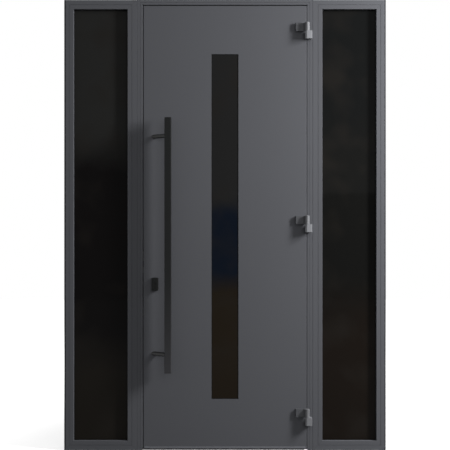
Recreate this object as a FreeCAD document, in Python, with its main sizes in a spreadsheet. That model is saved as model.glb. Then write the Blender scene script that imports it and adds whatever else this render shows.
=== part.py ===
# Entrance door between two fixed sidelights, made of aluminium profiles.
#
# Millimetres. X runs to the right as seen from outside, Y into the building and Z up. The
# origin is under the middle of the threshold. The outside face lies at y = -frame_depth / 2.
import FreeCAD
import Part
import Sketcher
import os
from types import SimpleNamespace

SIZES = {
    # the whole set
    "overall_width": 1500,
    "overall_height": 2100,
    "frame_depth": 80,
    "door_frame_width": 817,
    "edge_chamfer": 0.8,
    # sidelight profile
    "sidelight_profile_width": 45,
    "flange_width": 7.5,
    "flange_setback": 8,
    "face_groove_setback": 25,
    "face_groove_width": 1.3,
    "face_groove_depth": 2,
    "outer_lip_thickness": 16,
    "bead_slope": 6,
    # sidelight glazing
    "glazing_gasket_thickness": 4,
    "glazing_gasket_show": 1.5,
    "pane_thickness": 6,
    "pane_spacing": 16,
    "glass_edge_cover": 15,
    "spacer_height": 9,
    "spacer_inset": 3,
    # door frame
    "door_frame_face": 24.5,
    "cover_groove_setback": 14,
    "cover_groove_width": 1,
    "cover_groove_depth": 1.2,
    "joint_width": 0.5,
    "joint_depth": 3,
    "stop_width": 24,
    "stop_depth": 15,
    "seal_width": 6,
    "seal_clearance": 0.5,
    "threshold_height": 5,
    "threshold_upstand": 22,
    "threshold_nose": 2.5,
    # leaf
    "leaf_gap": 5.5,
    "leaf_floor_gap": 5,
    "leaf_seat_gap": 5,
    "leaf_step": 8,
    "leaf_flange_depth": 10,
    "skin_thickness": 3,
    "leaf_profile_width": 72,
    "skin_chamfer": 1,
    "slot_width": 125,
    "slot_top_margin": 225,
    "slot_bottom_margin": 230,
    "slot_rim": 2.5,
    "slot_frame_overlap": 14,
    "slot_ledge": 8,
    "slot_pane_thickness": 6,
    "slot_pane_setback": 1,
    "drip_height": 9,
    "drip_lip": 2,
    "drip_projection": 4,
    "drip_end_inset": 3,
    # pull bar
    "bar_size": 30,
    "bar_length": 1175,
    "bar_rise": 359,
    "bar_projection": 65,
    "bar_offset": 65,
    "bar_edge_radius": 1.5,
    "handle_setback": 51,
    "standoff_diameter": 19,
    "standoff_inset": 83,
    # lock
    "cylinder_height": 775,
    "cylinder_setback": 53.5,
    "cylinder_diameter": 17,
    "cylinder_tail_width": 10,
    "cylinder_tail_drop": 24,
    "cylinder_play": 0.2,
    "cylinder_recess": 1.5,
    "keyway_width": 2,
    "keyway_height": 9,
    "keyway_depth": 6,
    "escutcheon_width": 30,
    "escutcheon_height": 60,
    "escutcheon_thickness": 13,
    "escutcheon_corner": 4,
    "lever_rise": 92,
    "lever_plate_width": 34,
    "lever_plate_height": 240,
    "lever_plate_thickness": 8,
    "lever_neck_diameter": 18,
    "lever_neck_length": 46,
    "lever_diameter": 19,
    "lever_length": 130,
    "lever_end_radius": 3,
    "faceplate_width": 22,
    "faceplate_height": 300,
    "faceplate_thickness": 2.5,
    "faceplate_play": 0.2,
    # hinges
    "upper_hinge_drop": 120.5,
    "lower_hinge_rise": 147.4,
    "axis_projection": 20,
    "knuckle_diameter": 22,
    "leaf_knuckle_height": 39.5,
    "frame_knuckle_height": 37,
    "knuckle_gap": 0.5,
    "knuckle_rounding": 1.5,
    "pin_diameter": 10,
    "pin_play": 0.1,
    "wing_reach": 53,
    "wing_thickness": 12.5,
    "wing_height": 37,
    "wing_web_width": 17,
    "wing_toe_setback": 10,
    "block_reach": 21.5,
    "block_foot_setback": 3,
}


class Size:
    """A size worked out from the sheet: its formula, and its present value."""

    def __init__(self, formula, value):
        self.formula = formula
        self.value = value

    def __add__(self, other):
        other = as_size(other)
        return Size(f"({self.formula} + {other.formula})", self.value + other.value)

    def __sub__(self, other):
        other = as_size(other)
        return Size(f"({self.formula} - {other.formula})", self.value - other.value)

    def __mul__(self, other):
        other = as_size(other)
        return Size(f"({self.formula} * {other.formula})", self.value * other.value)

    def __truediv__(self, other):
        other = as_size(other)
        return Size(f"({self.formula} / {other.formula})", self.value / other.value)

    def __neg__(self):
        return Size(f"(0 - {self.formula})", -self.value)


def as_size(number):
    """A Size as it is, or a plain number as a Size."""
    if isinstance(number, Size):
        return number
    return Size(str(float(number)), float(number))


doc = FreeCAD.newDocument("door_with_sidelights")
sheet = doc.addObject("Spreadsheet::Sheet", "sizes")
for row, (alias, number) in enumerate(SIZES.items(), start=1):
    sheet.set(f"A{row}", alias)
    sheet.set(f"B{row}", str(number))
    sheet.setAlias(f"B{row}", alias)
doc.recompute()
size = SimpleNamespace()
for alias, number in SIZES.items():
    setattr(size, alias, Size(f"sizes.{alias}", float(number)))

# Lines that several pieces share
half_width = size.overall_width / 2
door_half = size.door_frame_width / 2
front = -size.frame_depth / 2
back = size.frame_depth / 2
jamb_edge = door_half - size.door_frame_face
head_edge = size.overall_height - size.door_frame_face
leaf_half = jamb_edge - size.leaf_gap
leaf_top = head_edge - size.leaf_gap
leaf_bottom = size.threshold_height + size.leaf_floor_gap
stop_face = back - size.stop_depth
leaf_back = stop_face - size.leaf_seat_gap
skin_back = front + size.skin_thickness
inner_skin_front = leaf_back - size.skin_thickness
flange_back = front + size.leaf_flange_depth
core_half = leaf_half - size.leaf_step
core_top = leaf_top - size.leaf_step
glass_front = front + size.outer_lip_thickness + size.glazing_gasket_thickness
glass_back = glass_front + size.pane_thickness * 2 + size.pane_spacing
bead_front = glass_back + size.glazing_gasket_thickness
slot_low = leaf_bottom + size.slot_bottom_margin
slot_top = leaf_top - size.slot_top_margin
slot_half = size.slot_width / 2
axis_x = leaf_half + size.leaf_gap / 2
axis_y = front - size.axis_projection
handle_x = size.handle_setback - leaf_half
cylinder_x = size.cylinder_setback - leaf_half
lever_z = size.cylinder_height + size.lever_rise

# Closer than this, in millimetres, two places are the same
SAME_PLACE = 1e-4
subparts = []


def new_body(name):
    """An empty body whose label is the node's name."""
    body = doc.addObject("PartDesign::Body", name)
    body.Label = name
    subparts.append(body)
    return body


def hold(sketch, kind, element, point, distance):
    """Ties a point of the sketch to the origin by a distance from the sheet."""
    index = sketch.addConstraint(Sketcher.Constraint(kind, -1, 1, element, point, distance.value))
    sketch.setExpression(f"Constraints[{index}]", distance.formula)


def new_sketch(body, plane, start):
    """A sketch on one of the body's own planes, moved to start along that plane's axis."""
    sketch = body.newObject("Sketcher::SketchObject", f"{body.Name}_outline")
    origin_plane = [item for item in body.Origin.OriginFeatures if item.Role == f"{plane}_Plane"][0]
    sketch.AttachmentSupport = [(origin_plane, "")]
    sketch.MapMode = "FlatFace"
    offset = -start if plane == "XZ" else start
    sketch.AttachmentOffset = FreeCAD.Placement(FreeCAD.Vector(0, 0, offset.value), FreeCAD.Rotation())
    sketch.setExpression("AttachmentOffset.Base.z", offset.formula)
    return sketch


def draw_loop(sketch, corners):
    """A closed outline of straight lines, each corner held at its place."""
    corners = [(as_size(across), as_size(along)) for across, along in corners]
    first = sketch.GeometryCount
    count = len(corners)
    for index, (across, along) in enumerate(corners):
        next_across, next_along = corners[(index + 1) % count]
        start = FreeCAD.Vector(across.value, along.value, 0)
        end = FreeCAD.Vector(next_across.value, next_along.value, 0)
        sketch.addGeometry(Part.LineSegment(start, end), False)
    for index, (across, along) in enumerate(corners):
        following = first + (index + 1) % count
        sketch.addConstraint(Sketcher.Constraint("Coincident", first + index, 2, following, 1))
        hold(sketch, "DistanceX", first + index, 1, across)
        hold(sketch, "DistanceY", first + index, 1, along)


def draw_circle(sketch, across, along, diameter):
    """A circle whose centre and diameter are held."""
    across = as_size(across)
    along = as_size(along)
    centre = FreeCAD.Vector(across.value, along.value, 0)
    circle = Part.Circle(centre, FreeCAD.Vector(0, 0, 1), diameter.value / 2)
    index = sketch.addGeometry(circle, False)
    hold(sketch, "DistanceX", index, 3, across)
    hold(sketch, "DistanceY", index, 3, along)
    constraint = sketch.addConstraint(Sketcher.Constraint("Diameter", index, diameter.value))
    sketch.setExpression(f"Constraints[{constraint}]", diameter.formula)


def rectangle(left, right, low, high):
    """The four corners of an upright rectangle."""
    return [(left, low), (right, low), (right, high), (left, high)]


def pad(body, sketch, length):
    """Adds the sketch's area, drawn out by length towards the plane's positive axis."""
    feature = body.newObject("PartDesign::Pad", f"{body.Name}_pad")
    feature.Profile = sketch
    feature.Length = length.value
    feature.setExpression("Length", length.formula)
    feature.Reversed = "XZ_Plane" in sketch.AttachmentSupport[0][0].Role
    sketch.Visibility = False
    body.Tip = feature
    return feature


def pocket(body, sketch, length):
    """Takes away the sketch's area, drawn out by length towards the plane's positive axis."""
    doc.recompute()
    before = body.Shape.Volume
    feature = body.newObject("PartDesign::Pocket", f"{body.Name}_pocket")
    feature.Profile = sketch
    feature.Length = length.value
    feature.setExpression("Length", length.formula)
    feature.Reversed = "XZ_Plane" not in sketch.AttachmentSupport[0][0].Role
    body.Tip = feature
    doc.recompute()
    if body.Shape.Volume >= before - SAME_PLACE:
        raise RuntimeError(f"{body.Name}: a pocket takes nothing away")
    return feature


def extrude(name, plane, loops, start, length):
    """A body drawn out from one sketch of closed straight outlines."""
    body = new_body(name)
    sketch = new_sketch(body, plane, as_size(start))
    for corners in loops:
        draw_loop(sketch, corners)
    pad(body, sketch, as_size(length))
    return body


def cut_away(body, plane, loops, start, length):
    """Cuts a straight-sided recess or opening."""
    sketch = new_sketch(body, plane, as_size(start))
    for corners in loops:
        draw_loop(sketch, corners)
    pocket(body, sketch, as_size(length))


def ease_edges(body, kind, radius, wanted):
    """Rounds ("Fillet") or bevels ("Chamfer") the edges that wanted picks."""
    doc.recompute()
    base = body.Tip
    names = [f"Edge{index}" for index, edge in enumerate(base.Shape.Edges, start=1) if wanted(edge)]
    feature = body.newObject(f"PartDesign::{kind}", f"{body.Name}_{kind.lower()}")
    feature.Base = (base, names)
    amount = "Radius" if kind == "Fillet" else "Size"
    setattr(feature, amount, radius.value)
    feature.setExpression(amount, radius.formula)
    body.Tip = feature
    return feature


def runs_along(edge, direction):
    """True for a straight edge along that direction."""
    if not isinstance(edge.Curve, Part.Line):
        return False
    return abs(abs(edge.Curve.Direction.dot(direction)) - 1) < SAME_PLACE


def is_round(edge):
    """True for a circle or an arc of one."""
    return isinstance(edge.Curve, Part.Circle)


def lies_at(edge, axis, place):
    """True where every point of the edge has this coordinate."""
    box = edge.BoundBox
    low = getattr(box, f"{axis.upper()}Min")
    high = getattr(box, f"{axis.upper()}Max")
    return abs(low - place) < SAME_PLACE and abs(high - place) < SAME_PLACE


# Mitred profiles


def profile(name, section, width, length, turn, x, z, mitres):
    """A length of profile, mitred at one or both ends.

    In its own frame the profile runs along Z from its outer corner, with the section's first
    coordinate towards the opening that it frames. It is then turned about Y to its side.
    """
    body = extrude(name, "XY", [section], 0, length)
    over = size.edge_chamfer
    if "start" in mitres:
        corner = [(-over, -over), (width + over, -over), (width + over, width + over)]
        cut_away(body, "XZ", [corner], front - over, size.frame_depth + over * 2)
    if "end" in mitres:
        beyond = length + over
        corner = [(-over, beyond), (width + over, beyond), (width + over, length - width - over)]
        cut_away(body, "XZ", [corner], front - over, size.frame_depth + over * 2)
    turned = FreeCAD.Rotation(FreeCAD.Vector(0, 1, 0), turn)
    x = as_size(x)
    z = as_size(z)
    body.Placement = FreeCAD.Placement(FreeCAD.Vector(x.value, 0, z.value), turned)
    body.setExpression("Placement.Base.x", x.formula)
    body.setExpression("Placement.Base.z", z.formula)
    return body


def sidelight_section(flanged):
    """Face with a fine groove, an outer lip for the glass, and a rebate behind it."""
    width = size.sidelight_profile_width
    ease = size.edge_chamfer
    groove = size.face_groove_setback
    groove_half = size.face_groove_width / 2
    groove_floor = front + size.face_groove_depth
    if flanged:
        setback = front + size.flange_setback
        outer = [(0, setback), (size.flange_width, setback), (size.flange_width, front + ease)]
        outer = outer + [(size.flange_width + ease, front)]
    else:
        outer = [(0, front + ease), (ease, front)]
    face = [
        (groove - groove_half, front),
        (groove - groove_half, groove_floor),
        (groove + groove_half, groove_floor),
        (groove + groove_half, front),
        (width - ease, front),
        (width, front + ease),
    ]
    rebate = [
        (width, front + size.outer_lip_thickness),
        (groove, front + size.outer_lip_thickness),
        (groove, back),
        (0, back),
    ]
    return outer + face + rebate


def ring(low_x, high_x, low_z, high_z, inset):
    """An upright rectangle, brought in by inset on every side."""
    return rectangle(low_x + inset, high_x - inset, low_z + inset, high_z - inset)


def make_sidelight(side, left, right, outer_side):
    """Four mitred profiles, a sealed glass unit, its gaskets and the bead frame inside."""
    top = size.overall_height
    width = size.sidelight_profile_width
    across = right - left
    left_name = "outer_stile" if outer_side == "left" else "inner_stile"
    right_name = "inner_stile" if outer_side == "left" else "outer_stile"
    left_section = sidelight_section(outer_side == "left")
    right_section = sidelight_section(outer_side == "right")
    both = ("start", "end")
    profile(f"{side}_{left_name}", left_section, width, top, 0, left, 0, both)
    profile(f"{side}_head_rail", sidelight_section(True), width, across, 90, left, top, both)
    profile(f"{side}_{right_name}", right_section, width, top, 180, right, top, both)
    profile(f"{side}_sill_rail", sidelight_section(False), width, across, 270, right, 0, both)

    opening = size.sidelight_profile_width
    glass = opening - size.glass_edge_cover
    pane = ring(left, right, as_size(0), top, glass)
    spacer_outer = glass + size.spacer_inset
    spacer_loops = [
        ring(left, right, as_size(0), top, spacer_outer),
        ring(left, right, as_size(0), top, spacer_outer + size.spacer_height),
    ]
    make_panes(f"{side}_glass_panes", pane, glass_front, size.pane_thickness, size.pane_spacing)
    spacer_front = glass_front + size.pane_thickness
    extrude(f"{side}_glass_spacer", "XZ", spacer_loops, spacer_front, size.pane_spacing)

    gasket_loops = [pane, ring(left, right, as_size(0), top, opening + size.glazing_gasket_show)]
    gasket_start = front + size.outer_lip_thickness
    gasket = size.glazing_gasket_thickness
    make_layers(f"{side}_glazing_gasket", gasket_loops, gasket_start, gasket, glass_back)

    bead_loops = [
        ring(left, right, as_size(0), top, size.face_groove_setback),
        ring(left, right, as_size(0), top, opening),
    ]
    bead = extrude(f"{side}_bead_frame", "XZ", bead_loops, bead_front, back - bead_front)
    inside = ring(left, right, as_size(0), top, opening)
    inner_left = inside[0][0].value
    inner_right = inside[1][0].value

    def at_inner_edge(edge):
        box = edge.BoundBox
        within = box.XMin > inner_left - SAME_PLACE and box.XMax < inner_right + SAME_PLACE
        return lies_at(edge, "y", back.value) and within

    ease_edges(bead, "Chamfer", size.bead_slope, at_inner_edge)


def make_layers(name, loops, first_start, thickness, second_start):
    """Two like layers, one behind the other, that don't touch."""
    first = layer(f"{name}_outer", loops, first_start, thickness)
    second = layer(f"{name}_inner", loops, second_start, thickness)
    both = doc.addObject("Part::Compound", name)
    both.Label = name
    both.Links = [first, second]
    subparts.append(both)


def layer(name, loops, start, thickness):
    """One layer of make_layers, as a body that isn't written by itself."""
    body = extrude(name, "XZ", loops, start, thickness)
    subparts.remove(body)
    return body


def make_panes(name, outline, start, thickness, spacing):
    """The outer and inner pane of a sealed glass unit."""
    make_layers(name, [outline], start, thickness, start + thickness + spacing)


# Door frame


def door_frame_section():
    """Face with a joint to the sidelight, a fine cover line, and the stop behind the leaf."""
    face = size.door_frame_face
    ease = size.edge_chamfer
    line = size.cover_groove_setback
    line_half = size.cover_groove_width / 2
    joint_floor = front + size.joint_depth
    return [
        (0, joint_floor),
        (size.joint_width, joint_floor),
        (size.joint_width, front),
        (line - line_half, front),
        (line, front + size.cover_groove_depth),
        (line + line_half, front),
        (face - ease, front),
        (face, front + ease),
        (face, stop_face),
        (face + size.stop_width, stop_face),
        (face + size.stop_width, back),
        (0, back),
    ]


def make_door_frame():
    """Two jambs, a head and a threshold, with the seal and strike plate that they carry."""
    section = door_frame_section()
    width = size.door_frame_face + size.stop_width
    top = size.overall_height
    jamb = profile("lock_jamb", section, width, top, 0, -door_half, 0, ("end",))
    thickness = size.faceplate_thickness
    recess = lock_plate_outline(size.faceplate_play)
    cut_away(jamb, "YZ", [recess], size.door_frame_face - thickness, thickness)
    extrude("strike_plate", "YZ", [lock_plate_outline(0)], -jamb_edge - thickness, thickness)
    profile("door_head", section, width, size.door_frame_width, 90, -door_half, top, ("start", "end"))
    profile("hinge_jamb", section, width, top, 180, door_half, top, ("start",))

    inner_half = jamb_edge - size.stop_width
    low = size.threshold_height
    high = size.threshold_upstand
    nose = size.threshold_nose
    plate = [(front, 0), (front, low - nose), (front + nose, low), (stop_face, low), (stop_face, 0)]
    threshold = extrude("threshold", "YZ", [plate], -jamb_edge, jamb_edge * 2)
    upstand = [(stop_face, 0), (stop_face, high), (back - nose, high), (back, high - nose), (back, 0)]
    sketch = new_sketch(threshold, "YZ", -inner_half)
    draw_loop(sketch, upstand)
    pad(threshold, sketch, inner_half * 2)

    cover = size.seal_width
    seal_edge = core_half - (core_half - inner_half - cover) / 2
    seal_low = high - (high - leaf_bottom - cover) / 2
    seal_high = core_top - (core_half - inner_half - cover) / 2
    outer = rectangle(-seal_edge, seal_edge, seal_low - cover, seal_high)
    inner = rectangle(cover - seal_edge, seal_edge - cover, seal_low, seal_high - cover)
    seal_depth = size.leaf_seat_gap - size.seal_clearance
    extrude("stop_seal", "XZ", [outer, inner], stop_face - seal_depth, seal_depth)


def lock_plate_outline(play):
    """The lock's plate on the leaf's edge and on the jamb, centred in the leaf's body."""
    middle = (flange_back + leaf_back) / 2
    half_depth = size.faceplate_width / 2 + play
    half_height = size.faceplate_height / 2 + play
    low = size.cylinder_height - half_height
    high = size.cylinder_height + half_height
    return rectangle(middle - half_depth, middle + half_depth, low, high)


# Leaf


def leaf_stile_section(side):
    """A leaf profile seen from above, with the step that laps the frame's gap."""
    reach = leaf_half - size.leaf_profile_width
    corners = [
        (reach, skin_back),
        (leaf_half, skin_back),
        (leaf_half, flange_back),
        (core_half, flange_back),
        (core_half, inner_skin_front),
        (reach, inner_skin_front),
    ]
    if side == "left":
        corners = [(-x, y) for x, y in corners]
    return corners


def make_leaf_shell():
    """Two flat skins on a frame of four profiles, with a tall glazed slot through them."""
    slot = rectangle(-slot_half, slot_half, slot_low, slot_top)
    outline = rectangle(-leaf_half, leaf_half, leaf_bottom, leaf_top)
    outer_skin = extrude("outer_skin", "XZ", [outline, slot], front, size.skin_thickness)
    limit = leaf_half.value - size.skin_thickness.value

    def at_outer_edge(edge):
        box = edge.BoundBox
        outside = box.XMax > limit or box.XMin < -limit
        return lies_at(edge, "y", front.value) and outside

    ease_edges(outer_skin, "Chamfer", size.skin_chamfer, at_outer_edge)
    inner_outline = rectangle(-core_half, core_half, leaf_bottom, core_top)
    extrude("inner_skin", "XZ", [inner_outline, slot], inner_skin_front, size.skin_thickness)

    height = leaf_top - leaf_bottom
    for side, name in (("left", "lock_stile"), ("right", "hinge_stile")):
        stile = extrude(name, "XY", [leaf_stile_section(side)], leaf_bottom, height)
        step_top = [
            (-leaf_half, core_top),
            (leaf_half, core_top),
            (leaf_half, leaf_top),
            (-leaf_half, leaf_top),
        ]
        cut_away(stile, "XZ", [step_top], flange_back, inner_skin_front - flange_back)
        if name == "lock_stile":
            recess = lock_plate_outline(size.faceplate_play)
            cut_away(stile, "YZ", [recess], -core_half, size.faceplate_thickness)

    between = leaf_half - size.leaf_profile_width
    top_section = [
        (skin_back, leaf_top),
        (flange_back, leaf_top),
        (flange_back, core_top),
        (inner_skin_front, core_top),
        (inner_skin_front, leaf_top - size.leaf_profile_width),
        (skin_back, leaf_top - size.leaf_profile_width),
    ]
    extrude("leaf_top_rail", "YZ", [top_section], -between, between * 2)
    bottom_high = leaf_bottom + size.leaf_profile_width
    bottom_section = rectangle(skin_back, inner_skin_front, leaf_bottom, bottom_high)
    extrude("leaf_bottom_rail", "YZ", [bottom_section], -between, between * 2)

    drip_half = leaf_half - size.drip_end_inset
    drip_front = front - size.drip_projection
    drip = [
        (front, leaf_bottom),
        (front, leaf_bottom + size.drip_height),
        (drip_front, leaf_bottom + size.drip_lip),
        (drip_front, leaf_bottom),
    ]
    extrude("drip_bar", "YZ", [drip], -drip_half, drip_half * 2)


def make_slot_glazing():
    """A lining through the leaf, with a pane let into it on each face."""
    rim = size.slot_rim
    ledge = rim + size.slot_ledge
    over = size.slot_frame_overlap

    def around(inset):
        return rectangle(-slot_half + inset, slot_half - inset, slot_low + inset, slot_top - inset)

    pane_depth = size.slot_pane_setback + size.slot_pane_thickness
    depth = inner_skin_front - skin_back
    lining = extrude("slot_lining", "XZ", [around(-over), around(ledge)], skin_back, depth)
    sketch = new_sketch(lining, "XZ", front)
    draw_loop(sketch, around(as_size(0)))
    draw_loop(sketch, around(ledge))
    pad(lining, sketch, leaf_back - front)
    cut_away(lining, "XZ", [around(rim)], front, pane_depth)
    cut_away(lining, "XZ", [around(rim)], leaf_back - pane_depth, pane_depth)
    spacing = leaf_back - front - pane_depth * 2
    pane_start = front + size.slot_pane_setback
    make_panes("slot_panes", around(rim), pane_start, size.slot_pane_thickness, spacing)


# Pull bar and lock


def make_pull_bar():
    """A square bar on two slanted standoffs that reach back to a line nearer the lock edge."""
    centre_out = size.bar_projection - size.bar_size / 2
    bar_x = handle_x + size.bar_offset
    bar_y = front - centre_out
    half = size.bar_size / 2
    square = rectangle(bar_x - half, bar_x + half, bar_y - half, bar_y + half)
    bar_low = leaf_bottom + size.bar_rise
    bar = extrude("pull_bar", "XY", [square], bar_low, size.bar_length)
    ease_edges(bar, "Fillet", size.bar_edge_radius, lambda edge: True)

    low = bar_low + size.standoff_inset
    high = bar_low + size.bar_length - size.standoff_inset
    for name, height in (("lower_standoff", low), ("upper_standoff", high)):
        make_standoff(name, height, bar_x, bar_y, centre_out)


def bound_box(name, x, y, z, width, depth, height):
    """A box whose corner and edges follow the sheet."""
    box = doc.addObject("Part::Box", name)
    for place, distance in (("x", x), ("y", y), ("z", z)):
        box.setExpression(f"Placement.Base.{place}", distance.formula)
    box.setExpression("Length", width.formula)
    box.setExpression("Width", depth.formula)
    box.setExpression("Height", height.formula)
    return box


def cut_tool(name, base, tool):
    """The base with the tool's space taken away."""
    result = doc.addObject("Part::Cut", name)
    result.Base = base
    result.Tool = tool
    return result


def make_standoff(name, height, bar_x, bar_y, centre_out):
    """A rod that slants out to the bar, cut flat on the leaf and notched over the bar's corner."""
    slope = size.bar_offset / centre_out
    # the rod starts this far behind the leaf's face, so that the cut leaves its foot whole
    behind = size.standoff_diameter
    rod = doc.addObject("Part::Cylinder", f"{name}_rod")
    rod.setExpression("Placement.Base.x", (handle_x - behind * slope).formula)
    rod.setExpression("Placement.Base.y", (front + behind).formula)
    rod.setExpression("Placement.Base.z", height.formula)
    # a quarter turn about this axis lays the upright rod along its slope
    rod.setExpression("Placement.Rotation.Axis.x", "1")
    rod.setExpression("Placement.Rotation.Axis.y", slope.formula)
    rod.setExpression("Placement.Rotation.Axis.z", "0")
    rod.setExpression("Placement.Rotation.Angle", "90")
    rod.setExpression("Radius", (size.standoff_diameter / 2).formula)
    rod.setExpression("Height", f"{(centre_out + behind).formula} * sqrt(1 + {slope.formula} ^ 2)")
    reach = (size.bar_offset + centre_out) * 2
    leaf_side = bound_box(
        f"{name}_leaf_side", handle_x - reach, front, height - reach, reach * 2, reach, reach * 2
    )
    half = size.bar_size / 2
    bar_space = bound_box(
        f"{name}_bar_space", bar_x - half, bar_y - half, height - reach,
        size.bar_size, size.bar_size, reach * 2
    )
    flat = cut_tool(f"{name}_flat", rod, leaf_side)
    standoff = cut_tool(name, flat, bar_space)
    standoff.Label = name
    subparts.append(standoff)


def make_lock():
    """Escutcheon and cylinder outside, lever on a long plate inside, and the edge plate."""
    x = cylinder_x
    z = size.cylinder_height
    half_x = size.escutcheon_width / 2
    half_z = size.escutcheon_height / 2
    outer_start = front - size.escutcheon_thickness
    outline = rectangle(x - half_x, x + half_x, z - half_z, z + half_z)
    escutcheon = extrude("outer_escutcheon", "XZ", [outline], outer_start, size.escutcheon_thickness)
    along_y = FreeCAD.Vector(0, 1, 0)
    ease_edges(escutcheon, "Fillet", size.escutcheon_corner, lambda edge: runs_along(edge, along_y))
    ease = size.edge_chamfer
    ease_edges(escutcheon, "Fillet", ease, lambda edge: lies_at(edge, "y", outer_start.value))
    play = size.cylinder_play * 2
    cut_cylinder_hole(escutcheon, outer_start, size.escutcheon_thickness, play)

    plate_half = size.lever_plate_width / 2
    middle = (z + lever_z) / 2
    plate_low = middle - size.lever_plate_height / 2
    plate_high = middle + size.lever_plate_height / 2
    plate_outline = rectangle(x - plate_half, x + plate_half, plate_low, plate_high)
    thickness = size.lever_plate_thickness
    plate = extrude("lever_plate", "XZ", [plate_outline], leaf_back, thickness)
    ease_edges(plate, "Fillet", size.escutcheon_corner, lambda edge: runs_along(edge, along_y))
    plate_face = leaf_back + thickness
    ease_edges(plate, "Fillet", ease, lambda edge: lies_at(edge, "y", plate_face.value))
    cut_cylinder_hole(plate, leaf_back, thickness, play)

    make_cylinder_ends(outer_start, plate_face)
    make_lever(plate_face)
    extrude("lock_faceplate", "YZ", [lock_plate_outline(0)], -core_half, size.faceplate_thickness)


def cut_cylinder_hole(body, start, depth, play):
    """The hole for the cylinder: a round head over a narrow tail."""
    head = new_sketch(body, "XZ", start)
    draw_circle(head, cylinder_x, size.cylinder_height, size.cylinder_diameter + play)
    pocket(body, head, depth)
    tail_half = (size.cylinder_tail_width + play) / 2
    low = size.cylinder_height - size.cylinder_tail_drop - play / 2
    tail = rectangle(cylinder_x - tail_half, cylinder_x + tail_half, low, size.cylinder_height)
    cut_away(body, "XZ", [tail], start, depth)


def make_cylinder_ends(outer_start, plate_face):
    """The cylinder's two ends, each a little below the face of its plate."""
    ends = (
        ("outer", outer_start + size.cylinder_recess, front),
        ("inner", leaf_back, plate_face - size.cylinder_recess),
    )
    pieces = []
    for end, start, stop in ends:
        body = new_body(f"lock_cylinder_{end}")
        subparts.remove(body)
        head = new_sketch(body, "XZ", start)
        draw_circle(head, cylinder_x, size.cylinder_height, size.cylinder_diameter)
        pad(body, head, stop - start)
        tail_half = size.cylinder_tail_width / 2
        low = size.cylinder_height - size.cylinder_tail_drop
        left = cylinder_x - tail_half
        right = cylinder_x + tail_half
        tail = new_sketch(body, "XZ", start)
        draw_loop(tail, rectangle(left, right, low, size.cylinder_height))
        pad(body, tail, stop - start)
        key_half = size.keyway_width / 2
        key_low = size.cylinder_height - size.keyway_height / 2
        key_high = size.cylinder_height + size.keyway_height / 2
        keyway = rectangle(cylinder_x - key_half, cylinder_x + key_half, key_low, key_high)
        key_start = start if end == "outer" else stop - size.keyway_depth
        cut_away(body, "XZ", [keyway], key_start, size.keyway_depth)
        pieces.append(body)
    both = doc.addObject("Part::Compound", "lock_cylinder")
    both.Label = "lock_cylinder"
    both.Links = pieces
    subparts.append(both)


def make_lever(plate_face):
    """A round lever on a neck that stands off the inside plate."""
    lever = new_body("inner_lever")
    neck = new_sketch(lever, "XZ", plate_face)
    draw_circle(neck, cylinder_x, lever_z, size.lever_neck_diameter)
    pad(lever, neck, size.lever_neck_length)
    near_end = cylinder_x - size.lever_diameter / 2
    far_end = near_end + size.lever_length
    arm_y = plate_face + size.lever_neck_length - size.lever_diameter / 2
    arm = new_sketch(lever, "YZ", near_end)
    draw_circle(arm, arm_y, lever_z, size.lever_diameter)
    pad(lever, arm, size.lever_length)
    ease_edges(lever, "Fillet", size.lever_end_radius, lambda edge: lies_at(edge, "x", far_end.value))


# Hinges


def make_hinge(name, height):
    """A surface hinge: the leaf's knuckle above, the frame's block below, and the pin."""
    leaf_low = height + size.knuckle_gap / 2
    frame_high = height - size.knuckle_gap / 2
    frame_low = frame_high - size.frame_knuckle_height
    make_leaf_wing(f"{name}_hinge_leaf_wing", leaf_low)
    make_frame_block(f"{name}_hinge_frame_block", frame_low)

    pin = new_body(f"{name}_hinge_pin")
    rod = new_sketch(pin, "XY", frame_low)
    draw_circle(rod, axis_x, axis_y, size.pin_diameter)
    pin_length = size.frame_knuckle_height + size.knuckle_gap + size.leaf_knuckle_height
    pad(pin, rod, pin_length)
    ease_edges(pin, "Chamfer", size.edge_chamfer, is_round)


def make_leaf_wing(name, low):
    """A plate on the leaf's face with a web out to a knuckle that turns on the pin."""
    wing = new_body(name)
    plate = new_sketch(wing, "XY", low)
    ease = size.knuckle_rounding
    wing_edge = axis_x - size.wing_reach
    wing_front = front - size.wing_thickness
    # the web runs into the barrel over half its height in this section
    root = size.knuckle_diameter / 4
    draw_loop(plate, [
        (wing_edge, front),
        (wing_edge, wing_front + ease),
        (wing_edge + ease, wing_front),
        (axis_x - size.wing_web_width, wing_front),
        (axis_x - root, axis_y - root),
        (axis_x, axis_y),
        (axis_x - root, axis_y + root),
        (axis_x - size.wing_toe_setback, front),
    ])
    pad(wing, plate, size.wing_height)
    add_knuckle(wing, low, size.leaf_knuckle_height)
    high = (low + size.leaf_knuckle_height).value
    ease_edges(wing, "Fillet", ease, lambda edge: lies_at(edge, "z", high))
    bore_knuckle(wing, low, size.leaf_knuckle_height)


def make_frame_block(name, low):
    """A solid block on the jamb whose rounded end holds the pin."""
    block = new_body(name)
    foot = new_sketch(block, "XY", low)
    ease = size.knuckle_rounding
    foot_edge = jamb_edge + size.block_foot_setback
    block_edge = axis_x + size.block_reach
    block_front = axis_y - size.knuckle_diameter / 2
    draw_loop(foot, [
        (axis_x, block_front),
        (block_edge - ease, block_front),
        (block_edge, block_front + ease),
        (block_edge, front),
        (foot_edge, front),
        (foot_edge, axis_y),
        (axis_x, axis_y),
    ])
    pad(block, foot, size.frame_knuckle_height)
    add_knuckle(block, low, size.frame_knuckle_height)

    def around_the_bottom(edge):
        return lies_at(edge, "z", low.value) and not lies_at(edge, "y", front.value)

    ease_edges(block, "Chamfer", size.edge_chamfer, around_the_bottom)
    bore_knuckle(block, low, size.frame_knuckle_height)


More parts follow.
